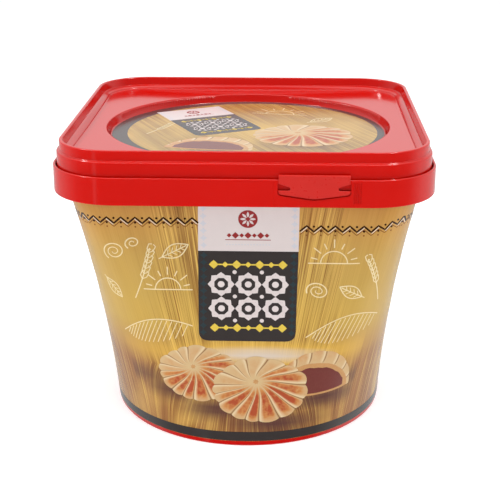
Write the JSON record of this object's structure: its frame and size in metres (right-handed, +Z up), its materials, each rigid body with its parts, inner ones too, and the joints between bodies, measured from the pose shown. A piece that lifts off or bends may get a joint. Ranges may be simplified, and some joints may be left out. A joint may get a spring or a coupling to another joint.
{
  "type": "printed plastic food tub with snap lid",
  "caption": "Shut square-topped, round-based plastic food tub with a printed side label, a collar with a tear-off tab and a snap lid with a stacking rim.",
  "frame": {"origin": "middle of the round base, on the surface the tub stands on", "axes": "+Z up, +X to the right of the front, -Y out of the front side that carries the tear-off tab"},
  "size_m": [0.16, 0.1605, 0.1384],
  "materials": {
    "red_plastic": "glossy injection-moulded polypropylene, red",
    "side_print": "printed in-mould film, wood-coloured ground, satin gloss",
    "lid_print": "printed in-mould film with a grey ring, satin gloss"
  },
  "bodies": {
    "root": {"tub": "red_plastic", "lid": "red_plastic", "side_label": "side_print", "lid_label": "lid_print"}
  },
  "joints": []
}
